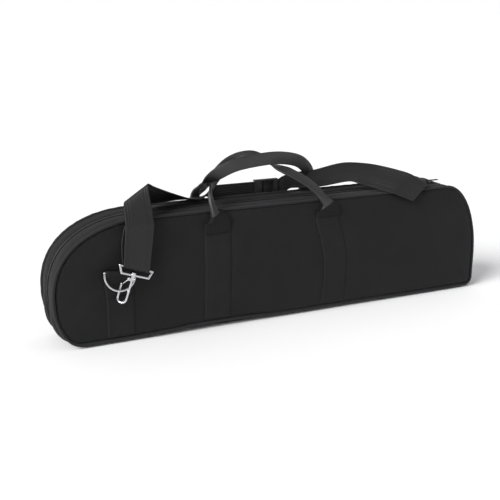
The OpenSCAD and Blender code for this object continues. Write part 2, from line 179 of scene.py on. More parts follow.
def seam_outline():
    """The seam between panel and gusset, anticlockwise seen from the front."""
    x = np.linspace(CHIN[0] - HALF_L, HALF_L - HEEL[0], 80)[1:-1]
    return np.vstack([
        corner((HALF_L - SHOULDER[0], Z_HIGH - SHOULDER[1]), SHOULDER, 2, 0, 90),
        corner((NOSE[0] - HALF_L, Z_LOW + CHIN[1]), NOSE, NOSE_POWER, 90, 180),
        corner((CHIN[0] - HALF_L, Z_LOW + CHIN[1]), CHIN, 2, 180, 270),
        np.stack([x, Z_LOW + bottom_rise(x)], 1),
        corner((HALF_L - HEEL[0], Z_LOW + HEEL[1]), HEEL, 2, 270, 360),
    ])


SEAM = seam_outline()


def normals(path, closed=True):
    """Outward directions in X and Z along an anticlockwise path."""
    if closed:
        t = np.roll(path, -1, 0) - np.roll(path, 1, 0)
    else:
        t = np.gradient(path, axis=0)
    t = unit(t)
    return np.stack([t[:, 1], -t[:, 0]], 1)


def seam_path(spacing, above=None, below=None):
    """Points and outward directions along the seam, all round or on one side of a height."""
    dense = resample(SEAM, 1.0)[0]
    if above is None and below is None:
        path, along = resample(dense, spacing)
        return path, normals(path), along
    # Start in the middle of the part that is left out, so that what is kept is one stretch
    keep = dense[:, 1] > above if above is not None else dense[:, 1] < below
    start = int(np.argmax(keep & ~np.roll(keep, 1)))
    dense, keep = np.roll(dense, -start, 0), np.roll(keep, -start)
    path, along = resample(dense[keep], spacing, closed=False)
    return path, normals(path, closed=False), along


SEAM_DENSE = resample(SEAM, 2.0)[0]


def depth_inside(x, z):
    """How far points lie inside the seam."""
    p = np.stack([np.ravel(x), np.ravel(z)], 1)
    out = np.empty(len(p))
    for i in range(0, len(p), 4000):
        d = p[i:i + 4000, None, :] - SEAM_DENSE[None]
        out[i:i + 4000] = np.sqrt((d ** 2).sum(2).min(1))
    return out.reshape(np.shape(x))


# ---- Smooth repeatable noise ----

def waves(seed, size, count=7):
    """A smooth random function of two coordinates, about -1 to 1, with details of one size."""
    rng = np.random.default_rng(seed)
    angle = rng.uniform(0, 2 * np.pi, count)
    rate = 2 * np.pi / (size * rng.uniform(0.7, 1.5, count))
    phase = rng.uniform(0, 2 * np.pi, count)

    def value(u, v):
        total = 0
        for a, r, p in zip(angle, rate, phase):
            total = total + np.sin((np.cos(a) * u + np.sin(a) * v) * r + p)
        return total / math.sqrt(count)
    return value


# ---- Mesh building ----

def new_piece(name, verts, faces, material, uvs=None):
    """A mesh from points in millimetres. uvs holds one pair for each face corner, in millimetres."""
    mesh = bpy.data.meshes.new(name)
    mesh.from_pydata((np.asarray(verts, float) * MM).tolist(), [], faces)
    if uvs is not None:
        layer = mesh.uv_layers.new(name="along")
        layer.data.foreach_set("uv", np.asarray(uvs, np.float32).ravel())
    mesh.polygons.foreach_set("use_smooth", [True] * len(mesh.polygons))
    mesh.materials.append(material)
    mesh.update()
    obj = bpy.data.objects.new(name, mesh)
    bpy.context.collection.objects.link(obj)
    return obj


def fix_normals(obj):
    """Turns every face outwards."""
    bm = bmesh.new()
    bm.from_mesh(obj.data)
    bmesh.ops.recalc_face_normals(bm, faces=bm.faces)
    bm.to_mesh(obj.data)
    bm.free()


def tube(name, rings, along, across, material, closed=False):
    """A tube with UVs from its rings, its ends closed by fans or joined up."""
    n, m = rings.shape[:2]
    verts = rings.reshape(-1, 3)
    faces, uvs = [], []
    u_end = along[-1] + (along[1] - along[0])
    for i in range(n if closed else n - 1):
        k = (i + 1) % n
        u0, u1 = along[i], (along[i + 1] if i + 1 < n else u_end)
        for j in range(m):
            h = (j + 1) % m
            faces.append((i * m + j, i * m + h, k * m + h, k * m + j))
            uvs += [(u0, across[j]), (u0, across[j + 1]), (u1, across[j + 1]), (u1, across[j])]
    if not closed:
        centres = [rings[0].mean(0), rings[-1].mean(0)]
        verts = np.vstack([verts, centres])
        for j in range(m):
            h = (j + 1) % m
            faces.append((j, n * m, h))
            uvs += [(0, across[j]), (0, 0), (0, across[j + 1])]
            base = (n - 1) * m
            faces.append((base + h, n * m + 1, base + j))
            uvs += [(0, across[j + 1]), (0, 0), (0, across[j])]
    obj = new_piece(name, verts, faces, material, uvs)
    fix_normals(obj)
    return obj


def rod_faces(first, rows, ring):
    """Faces of a closed rod: rows of points in rings, numbered from the first one on."""
    faces = []
    for q in range(rows - 1):
        a, b = first + q * ring, first + (q + 1) * ring
        for j in range(ring):
            h = (j + 1) % ring
            faces.append((a + j, a + h, b + h, b + j))
    faces.append(tuple(range(first + ring - 1, first - 1, -1)))
    last = first + (rows - 1) * ring
    faces.append(tuple(range(last, last + ring)))
    return faces


def points_of(obj):
    """A mesh's points in millimetres."""
    out = np.empty(len(obj.data.vertices) * 3)
    obj.data.vertices.foreach_get("co", out)
    return out.reshape(-1, 3) / MM


def set_points(obj, points):
    """Moves a mesh's points, given in millimetres."""
    obj.data.vertices.foreach_set("co", (points * MM).ravel())
    obj.data.update()


def bake_modifiers(obj):
    """Applies an object's modifiers to its mesh."""
    graph = bpy.context.evaluated_depsgraph_get()
    mesh = bpy.data.meshes.new_from_object(obj.evaluated_get(graph))
    obj.modifiers.clear()
    old = obj.data
    obj.data = mesh
    bpy.data.meshes.remove(old)


def remesh(obj, size):
    """Rebuilds a mesh out of voxels of a size in millimetres."""
    mod = obj.modifiers.new("remesh", "REMESH")
    mod.mode = "VOXEL"
    mod.voxel_size = size * MM
    mod.use_smooth_shade = True
    bake_modifiers(obj)


def subdivide(obj):
    """Rounds a remeshed piece by one subdivision."""
    mod = obj.modifiers.new("subdivide", "SUBSURF")
    mod.levels = mod.render_levels = 1
    bake_modifiers(obj)
    obj.data.polygons.foreach_set("use_smooth", [True] * len(obj.data.polygons))


def inflate(obj, free, cap, pressure=4.0, frames=20):
    """Blows a padded piece up as cloth. free is 1 where a point may move and 0 where it is sewn down."""
    start = points_of(obj)
    group = obj.vertex_groups.new(name="sewn")
    for i, f in enumerate(free):
        group.add([i], float(1 - f), "REPLACE")
    mod = obj.modifiers.new("cloth", "CLOTH")
    cloth = mod.settings
    cloth.quality = 4
    cloth.mass = 0.3
    cloth.tension_stiffness = cloth.compression_stiffness = 18
    cloth.shear_stiffness = 6
    cloth.bending_stiffness = 0.6
    cloth.vertex_group_mass = "sewn"
    cloth.use_pressure = True
    cloth.uniform_pressure_force = pressure
    cloth.effector_weights.gravity = 0
    scene = bpy.context.scene
    for f in range(1, frames + 1):
        scene.frame_set(f)
    graph = bpy.context.evaluated_depsgraph_get()
    moved = np.array([v.co for v in obj.evaluated_get(graph).data.vertices]) / MM
    obj.modifiers.clear()
    obj.vertex_groups.clear()
    scene.frame_set(1)
    step = moved - start
    size = np.linalg.norm(step, axis=1)
    step *= (np.minimum(size, cap) / np.maximum(size, 1e-9))[:, None]
    set_points(obj, start + step * np.asarray(free)[:, None])


# ---- Materials ----

def new_material(name, colour, roughness, **inputs):
    material = bpy.data.materials.new(name)
    material.use_nodes = True
    shader = material.node_tree.nodes["Principled BSDF"]
    shader.inputs["Base Color"].default_value = (*colour, 1)
    shader.inputs["Roughness"].default_value = roughness
    for key, value in inputs.items():
        shader.inputs[key.replace("_", " ")].default_value = value
    return material


class Nodes:
    """Short calls for building a material's nodes."""

    def __init__(self, material):
        self.tree = material.node_tree
        self.shader = self.tree.nodes["Principled BSDF"]

    def add(self, kind, **settings):
        node = self.tree.nodes.new("ShaderNode" + kind)
        for key, value in settings.items():
            setattr(node, key, value)
        return node

    def link(self, out, to):
        self.tree.links.new(out, to)

    def math(self, operation, a, b=None):
        node = self.add("Math", operation=operation)
        for socket, value in zip(node.inputs, (a, b)):
            if value is None:
                continue
            if isinstance(value, (int, float)):
                socket.default_value = value
            else:
                self.link(value, socket)
        return node.outputs[0]

    def place(self, source="Object"):
        """Object coordinates or UVs, split into three numbers."""
        coords = self.add("TexCoord").outputs[source]
        split = self.add("SeparateXYZ")
        self.link(coords, split.inputs[0])
        return coords, split.outputs

    def noise(self, coords, scale, detail=3):
        node = self.add("TexNoise")
        node.inputs["Scale"].default_value = scale
        node.inputs["Detail"].default_value = detail
        self.link(coords, node.inputs["Vector"])
        return node.outputs[0]

    def ramp(self, value, stops):
        node = self.add("ValToRGB")
        for i, (at, colour) in enumerate(stops):
            if i >= len(node.color_ramp.elements):
                node.color_ramp.elements.new(at)
            element = node.color_ramp.elements[i]
            element.position = at
            element.color = (*colour, 1)
        self.link(value, node.inputs[0])
        return node.outputs[0]

    def bump(self, height, strength, distance, after=None):
        node = self.add("Bump")
        node.inputs["Strength"].default_value = strength
        node.inputs["Distance"].default_value = distance
        self.link(height, node.inputs["Height"])
        if after is not None:
            self.link(after, node.inputs["Normal"])
        return node.outputs[0]

    def mixed(self, *parts):
        """The sum of some values, each times its share."""
        total = None
        for value, share in parts:
            part = self.math("MULTIPLY", value, share)
            total = part if total is None else self.math("ADD", total, part)
        return total

    def colour(self, value, base, *stops):
        """Paints tones of a base colour. Each stop is a place on the ramp and a brightness."""
        ramp = self.ramp(value, [(at, tone(base, k)) for at, k in stops])
        self.link(ramp, self.shader.inputs["Base Color"])

    def relief(self, height, strength, distance, after=None):
        self.link(self.bump(height, strength, distance, after), self.shader.inputs["Normal"])

    def threads(self, u, v, pitch_u, pitch_v):
        """Plain weave: threads of two directions going over and under each other."""
        su = self.math("SINE", self.math("MULTIPLY", u, 2 * math.pi / pitch_u))
        sv = self.math("SINE", self.math("MULTIPLY", v, 2 * math.pi / pitch_v))
        return self.math("MULTIPLY", su, sv)


def tone(colour, k):
    return tuple(min(1, c * k) for c in colour)


def cloth_material(name, colour, pitch=0.0011, fuzz=0.03):
    """Woven nylon in the X and Z directions, a little uneven, with lint."""
    material = new_material(name, colour, 0.78, Sheen_Weight=fuzz, Sheen_Roughness=0.45)
    n = Nodes(material)
    n.shader.inputs["Sheen Tint"].default_value = (0.75, 0.77, 0.8, 1)
    n.shader.inputs["Specular IOR Level"].default_value = 0.22
    coords, (x, y, z) = n.place()
    weave = n.threads(n.math("ADD", x, y), z, pitch, pitch)
    uneven = n.noise(coords, 900, 2)
    height = n.math("ADD", weave, uneven)
    broad = n.noise(coords, 14, 4)
    n.colour(n.mixed((broad, 0.6), (uneven, 0.4)), colour, (0.3, 0.82), (0.7, 1.22))
    soft = n.bump(broad, 0.25, 0.0015)
    n.relief(height, 0.35, 0.00025, soft)
    return material


def webbing_material(name, colour, sheen=0.04, level=0.4, rough=0.55):
    """Ribbed nylon webbing: ribs across V, a herringbone along U. UVs are in millimetres."""
    material = new_material(name, colour, rough, Sheen_Weight=sheen, Sheen_Roughness=0.35)
    n = Nodes(material)
    n.shader.inputs["Specular IOR Level"].default_value = level
    n.shader.inputs["Sheen Tint"].default_value = (0.8, 0.82, 0.85, 1)
    u, v = n.place("UV")[1][:2]
    rib = n.math("ABSOLUTE", n.math("SINE", n.math("MULTIPLY", v, math.pi / 2.4)))
    slant = n.math("ADD", u, n.math("MULTIPLY", rib, 0.9))
    pick = n.math("SINE", n.math("MULTIPLY", slant, 2 * math.pi / 1.3))
    place = n.place()[0]
    broad = n.noise(place, 30, 4)
    fine = n.noise(place, 700, 2)
    # The ribs' crests are painted lighter and their grooves darker, as painted shade in the grooves, mixed
    # with random tone
    n.colour(n.mixed((rib, 0.35), (broad, 0.4), (fine, 0.25)), colour, (0.25, 0.6), (0.75, 1.35))
    n.relief(n.mixed((rib, 1.2), (pick, 0.45)), 0.5, 0.0004)
    return material


def tape_material(name, colour):
    """Fine twill, slanting across the UVs."""
    material = new_material(name, colour, 0.75, Sheen_Weight=0.02)
    n = Nodes(material)
    u, v = n.place("UV")[1][:2]
    twill = n.math("SINE", n.math("MULTIPLY", n.math("ADD", u, v), 2 * math.pi / 0.9))
    n.colour(n.noise(n.place()[0], 60, 3), colour, (0.3, 0.75), (0.7, 1.3))
    n.relief(twill, 0.4, 0.0002)
    return material


def metal_material(name, colour, roughness, wear=0.08):
    """Plated wire with faint scratches and clouding."""
    material = new_material(name, colour, roughness, Metallic=1.0)
    n = Nodes(material)
    coords = n.place()[0]
    cloud = n.noise(coords, 90, 5)
    fine = n.noise(coords, 1500, 2)
    rough = n.mixed((cloud, wear), (fine, wear * 0.5))
    n.link(n.math("ADD", rough, roughness - wear * 0.6), n.shader.inputs["Roughness"])
    n.colour(cloud, colour, (0.3, 0.88), (0.7, 1.05))
    n.relief(fine, 0.08, 0.0002)
    return material


def moulded_material(name, colour, roughness):
    """Black moulded plastic or enamel with a faint grain and rubbed patches."""
    material = new_material(name, colour, roughness)
    n = Nodes(material)
    coords = n.place()[0]
    grain = n.noise(coords, 2200, 2)
    patch = n.noise(coords, 120, 4)
    n.colour(patch, colour, (0.35, 0.85), (0.75, 1.5))
    n.link(n.math("ADD", n.math("MULTIPLY", patch, 0.2), roughness - 0.1), n.shader.inputs["Roughness"])
    n.relief(grain, 0.15, 0.0002)
    return material


CLOTH = cloth_material("cloth", (0.0075, 0.0075, 0.008))
# The piping's cloth is painted lighter than the panel cloth, as a painted highlight along the seam
PIPING = cloth_material("piping_cloth", (0.015, 0.015, 0.016), pitch=0.0009, fuzz=0.13)
LINING = cloth_material("lining_cloth", (0.014, 0.014, 0.0155), pitch=0.0016, fuzz=0.15)
WEBBING = webbing_material("webbing", (0.0075, 0.0075, 0.008), sheen=0.02, level=0.36, rough=0.44)
BAND_WEB = webbing_material("band_webbing", (0.0085, 0.0085, 0.009), sheen=0.02, level=0.22, rough=0.75)
HANDLE_WEB = webbing_material("handle_webbing", (0.0085, 0.0085, 0.009), sheen=0.03, level=0.6, rough=0.38)
# The handle's feet: the same webbing, duller, with its colour painted darker as painted shade
FOOT_WEB = webbing_material(
    "handle_foot_webbing", (0.0065, 0.0065, 0.007), sheen=0.015, level=0.2, rough=0.75)
TAPE = tape_material("zip_tape", (0.008, 0.008, 0.0085))
# Dark thread, its colour darkened below the cloth's as painted shade along the stitch lines
THREAD = tape_material("thread", (0.004, 0.004, 0.0042))
COIL = moulded_material("coil_nylon", (0.007, 0.007, 0.0075), 0.6)
PLASTIC = moulded_material("slider_plastic", (0.014, 0.014, 0.015), 0.42)
ENAMEL = moulded_material("zip_enamel", (0.016, 0.016, 0.017), 0.35)
CHROME = metal_material("chrome", (0.62, 0.62, 0.64), 0.14)
STEEL = metal_material("plated_steel", (0.5, 0.5, 0.52), 0.24)


# ---- Panels ----

def band_x(i, z):
    """Middle of a band at a height: the right one leans and bows to the right."""
    down = np.clip((BAND_HEAD - z) / BAND_LENGTH, 0, 1)
    return BANDS[i] + BAND_SLANT[i] * (down + 0.65 * np.sin(np.pi * down))


def crown(x, z, side):
    """How far the padded panel stands proud of its seam."""
    d = depth_inside(x, z)
    # Thin at the nose and full from the middle on
    full = 4.5 + 8.0 * ease(x, -330, 60)
    edge = 1 - np.exp(-d / 9)
    broad = np.sin(0.5 * np.pi * np.clip(d / 98, 0, 1))
    out = full * (0.38 * edge + 0.62 * broad)
    for i in range(2):
        off = np.abs(x - band_x(i, z))
        valley = 1.1 * bell(off - WEB_W / 2 + 1.5, 4.0) * ease(d, 4, 14)
        out = out * (1 - 0.14 * bell(off, 26)) - valley
    return out * (1 - hardware_press(x, z, side))


def hardware_press(x, z, side):
    """Share of the padding that the D-ring and the hook beside it press flat."""
    ring_x, hook_x = -side * RING[0], -side * HOOK[0]
    ring = bell(x - ring_x, 32) * bell(z - RING[2], 15)
    hook = bell(x - hook_x, 20) * bell(z - HOOK[1], 24)
    return np.maximum(0.95 * ring, 0.96 * hook)


def panel_relief(x, z, seed):
    """Slack and pucker of the cloth over the padding."""
    d = depth_inside(x, z)
    slack = waves(seed, 150)(x, z) * 0.9 * ease(d, 8, 60)
    middle = waves(seed + 1, 46)(x, z) * 0.28 * ease(d, 3, 40)
    pucker = waves(seed + 2, 13)(x, z) * 0.30 * bell(d - 7, 8)
    beside = sum(bell(np.abs(x - band_x(i, z)) - WEB_W / 2 - 6, 7) for i in range(2))
    pucker = pucker + waves(seed + 3, 12)(x * 0.4, z) * 0.22 * beside * ease(d, 4, 12)
    return slack + middle + pucker


def padded_panel(side, name, body):
    """A padded side panel. side is -1 for the lid half and 1 for the case half."""
    rim, out = seam_path(5)[:2]
    rim = rim - out * 0.2
    n = len(rim)
    low, high = FOAM_IN + 0.3, PANEL_OUT - 1.4
    verts = np.vstack([
        np.column_stack([rim[:, 0], np.full(n, low), rim[:, 1]]),
        np.column_stack([rim[:, 0], np.full(n, high), rim[:, 1]])])
    faces = [tuple(range(n)), tuple(range(2 * n - 1, n - 1, -1))]
    faces += [(i, n + i, n + (i + 1) % n, (i + 1) % n) for i in range(n)]
    obj = new_piece(name, verts, faces, CLOTH)
    fix_normals(obj)
    remesh(obj, 5.0)
    p = points_of(obj)
    share = ease(p[:, 1], low + 1, high - 1)
    p[:, 1] += share * (crown(p[:, 0], p[:, 2], side) + 0.2)
    if side < 0:
        p[:, 1] *= -1
        obj.data.flip_normals()
    set_points(obj, p)
    d = depth_inside(p[:, 0], p[:, 2])
    free = share * ease(d, 5, 22)
    for i in range(2):
        free = free * (1 - 0.85 * bell(p[:, 0] - band_x(i, p[:, 2]), 22))
    free = free * (1 - hardware_press(p[:, 0], p[:, 2], side))
    inflate(obj, free, cap=3.0)
    subdivide(obj)
    p = points_of(obj)
    share = ease(np.abs(p[:, 1]), low + 1, high - 1)
    p[:, 1] += side * share * panel_relief(p[:, 0], p[:, 2], 5 if side < 0 else 25)
    set_points(obj, p)
    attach(obj, body)
    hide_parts(name, name.replace("panel", "foam"))
    return obj


class Surface:
    """Finds how far out a panel's outer face is at a place in X and Z."""

    def __init__(self, obj, side):
        self.tree = BVHTree.FromPolygons(
            [v.co for v in obj.data.vertices], [p.vertices for p in obj.data.polygons])
        self.side = side

    def __call__(self, x, z):
        x, z = np.broadcast_arrays(np.asarray(x, float), np.asarray(z, float))
        out = np.empty(x.shape)
        for i in np.ndindex(x.shape):
            start = Vector((x[i] * MM, self.side * 0.2, z[i] * MM))
            hit = self.tree.ray_cast(start, Vector((0, -self.side, 0)))[0]
            out[i] = abs(hit.y) / MM if hit else PANEL_OUT - 2
        return out


# ---- Walls that follow the seam ----

def seam_rings(path, out, step, y):
    """Rings of points across the seam, from how far each stands out of it and its Y."""
    rings = np.empty(step.shape + (3,))
    rings[..., 0] = path[:, None, 0] + out[:, None, 0] * step
    rings[..., 1] = y
    rings[..., 2] = path[:, None, 1] + out[:, None, 1] * step
    return rings


def wall(name, side, seam, profile, material, relief=None):
    """Sweeps a closed profile of (y, step out) points along the seam. relief adds a step out."""
    path, out, along = seam
    profile = np.array(profile, float) * (side, 1)
    across = arc(np.vstack([profile, profile[:1]]))
    step = np.tile(profile[:, 1], (len(path), 1))
    y = np.tile(profile[:, 0], (len(path), 1))
    if relief is not None:
        step = step + relief(along[:, None], y, step)
    return tube(name, seam_rings(path, out, step, y), along, across, material)


def chin_swell(path):
    """How far the slack gusset bellies out where the nose turns under to the ground."""
    return 7.0 * bell(path[:, 1] - 34, 30) * ease(path[:, 0], -330, -370)


def gusset_arch(y):
    """Nothing at the zip and at the seam, full between them."""
    return np.sin(np.pi * np.clip((y - 5) / (GUSSET_OUT - 5), 0, 1)) ** 0.7


def gusset(side, name, body):
    """The padded wall between the side seam and the zip."""
    seam = seam_path(5, above=SPLIT_Z - 1)
    edge, mid = GUSSET_OUT + 0.6, (GUSSET_OUT + GUSSET_IN) / 2
    chin = chin_swell(seam[0])[:, None]
    profile = [
        (GUSSET_IN, -0.6), (GUSSET_IN + 2.5, 0.6), (14, 1.3), (mid - 4, 1.8), (mid + 4, 1.7), (34, 1.2),
        (edge - 1, 0.3), (edge + 2.6, -0.6), (edge + 2.6, -3.0), (edge - 2, -4.6), (34, -5.2), (mid, -5.4),
        (12, -5.2), (GUSSET_IN + 1, -3.6)]
    obj = wall(name, side, seam, profile, CLOTH,
               relief=lambda u, y, s: chin * gusset_arch(np.abs(y)) * (s > -3))
    remesh(obj, 4.5)
    p = points_of(obj)
    inside = 1 - ease(depth_inside(p[:, 0], p[:, 2]), 1.0, 3.0)
    y = np.abs(p[:, 1])
    free = ease(y, GUSSET_IN + 2, 15) * (1 - ease(y, edge - 10, edge - 1)) * inside
    inflate(obj, free, cap=2.2)
    subdivide(obj)
    p = points_of(obj)
    outer = depth_inside(p[:, 0], p[:, 2]) < 4
    centre = np.array([-60.0, 105.0])
    aim = unit(p[:, [0, 2]] - centre)
    y = np.abs(p[:, 1])
    reach = p[:, 0] + p[:, 2]
    slack = waves(61 + side, 90)(reach, y * 2) * 0.5
    at_seams = bell(y - edge + 4, 7) + 0.7 * bell(y - GUSSET_IN - 5, 5)
    pleat = waves(71 + side, 16)(reach, y * 0.35) * 0.35 * at_seams
    p[:, [0, 2]] += aim * (outer * (slack + pleat))[:, None]
    set_points(obj, p)
    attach(obj, body)
    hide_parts(name, name + "_foam")
    return obj


def piping(side, name, body):
    """A cloth-covered cord all round the seam, drawn in a little by its stitches."""
    path, out, along = seam_path(3.2)
    path = path + out * PIPING_OUT
    pucker = waves(31 + side, 9, 5)(along, 0) * 0.09
    sides = 12
    a = np.radians(np.arange(sides) * 360 / sides)
    r = PIPING_R * (0.97 + pucker[:, None] * 0.6)
    # Its sewn edge runs in between the panel and the gusset
    r = r * (1 + 0.9 * bell(np.degrees(a) - 225, 24))
    rings = seam_rings(path, out, r * np.cos(a), side * (PIPING_Y + r * np.sin(a)))
    across = np.arange(sides + 1) * 2 * np.pi * PIPING_R / sides
    obj = tube(name, rings, along, across, PIPING, closed=True)
    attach(obj, body)
    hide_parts(name)
    return obj


def zip_tape(side, name, body):
    profile = [(1.2, -0.5), (3.6, -0.2), (8.5, -0.1), (8.5, -1.0), (3.6, -1.1), (1.2, -1.4)]
    obj = wall(name, side, seam_path(6, above=SPLIT_Z), profile, TAPE)
    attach(obj, body)
    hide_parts(name)
    return obj


def zip_coil(side, name, body):
    """The nylon coil as a row of small loops that mesh with the other half's."""
    pitch = 2.2
    path, out = seam_path(pitch, above=SPLIT_Z + 0.5)[:2]
    if side > 0:
        path = (path[:-1] + path[1:]) / 2
        out = (out[:-1] + out[1:]) / 2
    t = np.stack([-out[:, 1], out[:, 0]], 1)
    # One loop, from its head over the middle line back to the tape: Y, height and radius
    section = 6
    legs = [(-0.25, 0.5, 0.75), (0.4, 0.95, 0.62), (1.5, 0.95, 0.55), (2.9, 0.45, 0.5)]
    verts, faces = [], []
    for i in range(len(path)):
        first = len(verts)
        for y, lift, r in legs:
            for k in range(section):
                a = 2 * math.pi * k / section
                s = r * math.cos(a) * 0.9
                h = lift + r * math.sin(a)
                place = path[i] + out[i] * h + t[i] * s
                verts.append((place[0], side * y, place[1]))
        faces += rod_faces(first, len(legs), section)
    obj = new_piece(name, verts, faces, COIL)
    fix_normals(obj)
    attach(obj, body)
    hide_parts(name)
    return obj


def gusset_lining(side, name, body):
    profile = [
        (7.5, -5.9), (16, -6.4), (28, -6.5), (37.0, -6.2), (37.0, -6.9), (28, -7.3), (16, -7.2), (7.5, -6.8)]
    ripple = waves(91 + side, 34)
    obj = wall(name, side, seam_path(8, above=SPLIT_Z + 2), profile, LINING,
               relief=lambda u, y, s: 0.3 * ripple(u, y) * bell(np.abs(y) - 22, 11))
    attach(obj, body)
    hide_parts(name)
    return obj


def panel_lining(side, name, body):
    """The brushed lining, drawn down along slanting quilt lines."""
    rim, out = seam_path(7)[:2]
    rim = rim - out * 4.4
    spine = np.stack([np.clip(rim[:, 0], 60 - HALF_L, HALF_L - 70), np.full(len(rim), 108.0)], 1)
    rows = np.concatenate([[0, 0.012], np.linspace(0.05, 1, 22)])
    n = len(rim)
    grid = rim[None] * (1 - rows[:, None, None]) + spine[None] * rows[:, None, None]
    x, z = grid[..., 0], grid[..., 1]
    quilt = 62.0
    line = np.minimum(np.abs((x + z) % quilt - quilt / 2), np.abs((x - z) % quilt - quilt / 2))
    puff = 0.9 * (1 - np.exp(-line / 6)) * ease(rows, 0.0, 0.08)[:, None]
    inner = FOAM_IN - 0.15 - puff
    verts = np.concatenate([
        np.stack([x, side * inner, z], -1).reshape(-1, 3),
        np.stack([x, np.full(x.shape, side * (FOAM_IN + 0.25)), z], -1).reshape(-1, 3)])
    faces = []
    half = len(rows) * n
    for r in range(len(rows) - 1):
        for i in range(n):
            k = (i + 1) % n
            a, b, c, d = r * n + i, r * n + k, (r + 1) * n + k, (r + 1) * n + i
            faces.append((a, b, c, d))
            faces.append((half + d, half + c, half + b, half + a))
    for i in range(n):
        k = (i + 1) % n
        faces.append((half + i, half + k, k, i))
    obj = new_piece(name, verts, faces, LINING)
    weld(obj)
    fix_normals(obj)
    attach(obj, body)
    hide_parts(name)
    return obj


def weld(obj):
    """Joins points that lie in the same place."""
    bm = bmesh.new()
    bm.from_mesh(obj.data)
    bmesh.ops.remove_doubles(bm, verts=bm.verts, dist=0.02 * MM)
    bmesh.ops.dissolve_degenerate(bm, dist=0.01 * MM, edges=bm.edges)
    bm.to_mesh(obj.data)
    bm.free()


# ---- Bottom ----

def bottom_gusset():
    """The padded strip under the case, sagging below both seams to the ground."""
    path, out, along = seam_path(5, below=SPLIT_Z + 1.5)
    total = along[-1]
    # 0 at both ends, where the strip turns up, and 1 where it sags
    ends = ease(along, 30, 260) * (1 - ease(along, total - 45, total))
    y = np.array([-42.4, -41, -37, -29, -16, 0, 16, 29, 37, 41, 42.4])
    sag = np.array([-1.2, 1.2, 3.6, 5.0, 5.6, 5.75, 5.6, 5.0, 3.6, 1.2, -1.2])
    flat_ends = np.array([-1.2, 0.1, 0.7, 1.2, 1.6, 1.7, 1.6, 1.2, 0.7, 0.1, -1.2])
    inner = np.array([-3.4, -3.8, -4.3, -4.6, -4.8, -4.8, -4.8, -4.6, -4.3, -3.8, -3.4])
    belly = np.array([0, 0.55, 0.9, 1, 1, 1, 1, 1, 0.9, 0.55, 0])
    chin = chin_swell(path)[:, None] * gusset_arch(np.abs(y))
    drop = bottom_rise(path[:, 0])[:, None] * belly * (path[:, 1] < SPLIT_Z)[:, None]
    step = np.concatenate([
        flat_ends + (sag - flat_ends) * ends[:, None] + chin + drop, inner[::-1] + drop[:, ::-1]], 1)
    rings = seam_rings(path, out, step, np.concatenate([y, y[::-1]]))
    obj = tube("bottom_gusset", rings, along, np.arange(2 * len(y) + 1) * 9.0, CLOTH)
    remesh(obj, 5)
    p = points_of(obj)
    low = p[:, 2] < Z_LOW - 0.5
    free = low * (1 - ease(np.abs(p[:, 1]), 28, 40)) * ease(p[:, 0], BASE_LOW_X, BASE_LOW_X + 40)
    inflate(obj, free * (1 - ease(p[:, 0], BASE_HIGH_X - 40, BASE_HIGH_X)), cap=1.0)
    subdivide(obj)
    p = points_of(obj)
    near = bell(np.abs(p[:, 1]) - 38, 6) * (p[:, 2] < Z_LOW)
    p[:, 2] += waves(83, 15)(p[:, 0], p[:, 1] * 0.4) * 0.35 * near
    p[:, 2] += waves(84, 80)(p[:, 0], p[:, 1]) * 0.25 * (p[:, 2] < Z_LOW)
    p[:, 2] = np.maximum(p[:, 2], 0.05)
    set_points(obj, p)
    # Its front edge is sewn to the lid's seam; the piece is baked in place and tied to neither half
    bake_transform(obj)
    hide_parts("bottom_gusset", "bottom_foam")


def bottom_lining():
    low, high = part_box("bottom_lining")
    x = np.linspace(low[0] / MM, high[0] / MM, 120)
    y = np.linspace(low[1] / MM, high[1] / MM, 16)
    gx, gy = np.meshgrid(x, y, indexing="ij")
    top = high[2] / MM + 0.35 * waves(95, 40)(gx, gy) * bell(gy, 26)
    under = np.full(gx.shape, low[2] / MM)
    rings = np.concatenate([
        np.stack([gx, gy, top], -1), np.stack([gx, gy, under], -1)[:, ::-1]], 1)
    obj = tube("bottom_lining", rings, x - x[0], np.arange(2 * len(y) + 1) * 5.0, LINING)
    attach(obj, "case")
    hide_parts("bottom_lining")


# ---- Webbing ----

def smooth_row(points, steps=6):
    """Catmull-Rom points through a few chosen ones, with any number of columns."""
    p = np.asarray(points, float)
    rows = []
    for i in range(len(p) - 1):
        a, b, c, d = p[max(i - 1, 0)], p[i], p[i + 1], p[min(i + 2, len(p) - 1)]
        for t in np.arange(steps) / steps:
            rows.append(0.5 * (2 * b + (c - a) * t + (2 * a - 5 * b + 4 * c - d) * t * t
                               + (3 * b - a - 3 * c + d) * t ** 3))
    return np.array(rows + [p[-1]])


def web_across(v):
    """UVs round a flat band whose columns stand at v, from -1 to 1."""
    return np.concatenate([(v + 1) * WEB_W / 2, (v[::-1] + 1) * WEB_W / 2, [0]])


def ribbon(name, low, high, spacing=3.5):
    """Webbing between two edge rows: two woven grooves near each rounded side, and a flat middle."""
    both = np.hstack([low, high])
    along = arc((both[:, :3] + both[:, 3:]) / 2)
    at = np.linspace(0, along[-1], int(along[-1] / spacing) + 1)
    low, high = np.split(read_off(both, along, at), 2, axis=1)
    normal = unit(np.cross(high - low, np.gradient((low + high) / 2, axis=0)))
    edge = np.array([0, 0.02, 0.05, 0.075, 0.095, 0.115, 0.14, 0.165, 0.185, 0.205, 0.23, 0.3, 0.38])
    v = np.concatenate([edge, [0.5], 1 - edge[::-1]])
    grooves = sum(bell(np.minimum(v, 1 - v) - at, 0.014) for at in (0.095, 0.185))
    half = WEB_T / 2 * (1.05 - 0.6 * grooves)
    half[[0, -1]] *= 0.45
    middle = low[:, None] * (1 - v)[None, :, None] + high[:, None] * v[None, :, None]
    stand = normal[:, None] * half[None, :, None]
    rings = np.concatenate([middle + stand, (middle - stand)[:, ::-1]], 1)
    width = np.linalg.norm(high - low, axis=1).mean()
    return tube(name, rings, at, np.concatenate([v, [1], v[::-1]]) * width, WEBBING)


def tilted(degrees):
    """The directions along and square to a level line that leans down to the right."""
    a = math.radians(degrees)
    return np.array([math.cos(a), 0, -math.sin(a)]), np.array([math.sin(a), 0, math.cos(a)])


